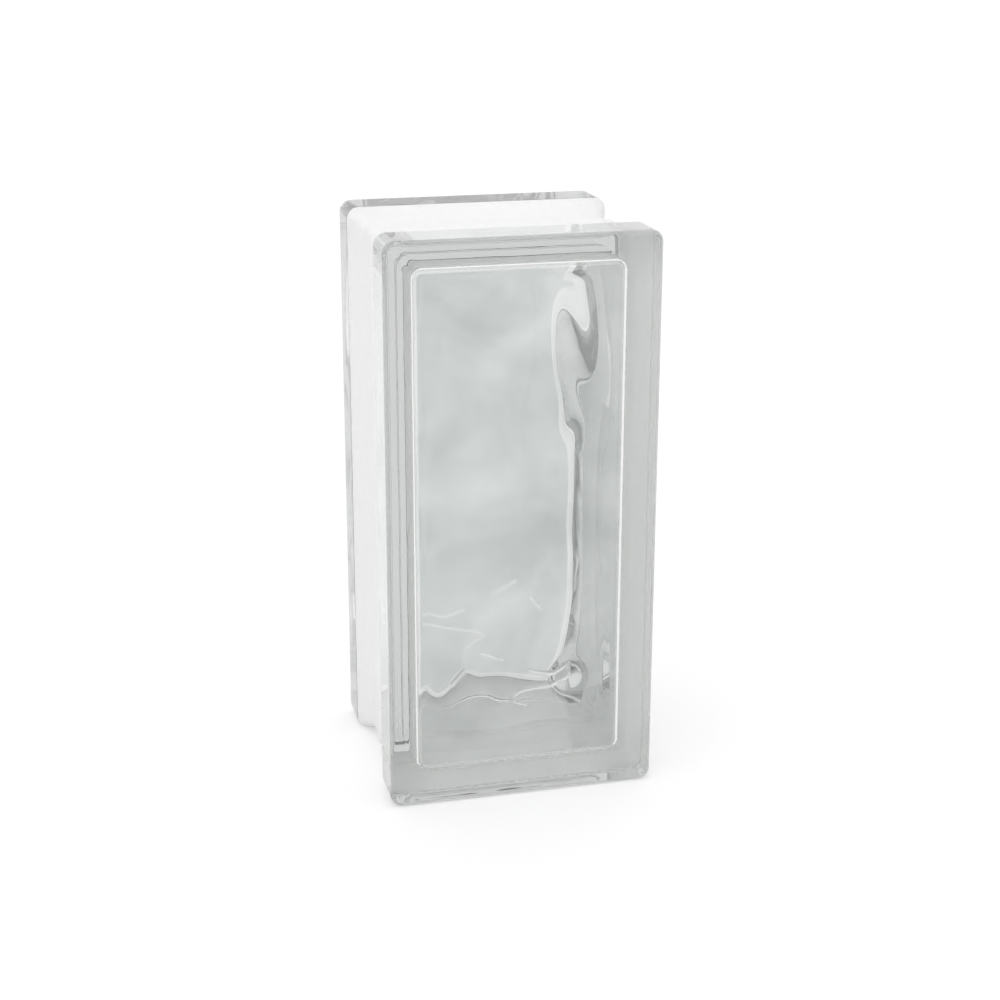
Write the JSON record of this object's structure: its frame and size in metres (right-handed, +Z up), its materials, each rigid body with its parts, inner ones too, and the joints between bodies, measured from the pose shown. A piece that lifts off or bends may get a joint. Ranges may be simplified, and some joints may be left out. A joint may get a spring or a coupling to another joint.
{
  "type": "glass block",
  "caption": "Hollow pressed-glass building block, half format, with wavy inner panes, flanged edges and a mortar groove round its rim.",
  "frame": {"origin": "middle of the base, on the plane of the lower flange edges", "axes": "+Z up along the block's length, X across its width, Y through its depth with the front face towards -Y"},
  "size_m": [0.09, 0.08, 0.19],
  "materials": {
    "clear_glass": "clear pressed glass with a faint grey-green tint, white coating in the mortar groove"
  },
  "bodies": {
    "root": {"glass_block": "clear_glass"}
  },
  "joints": []
}
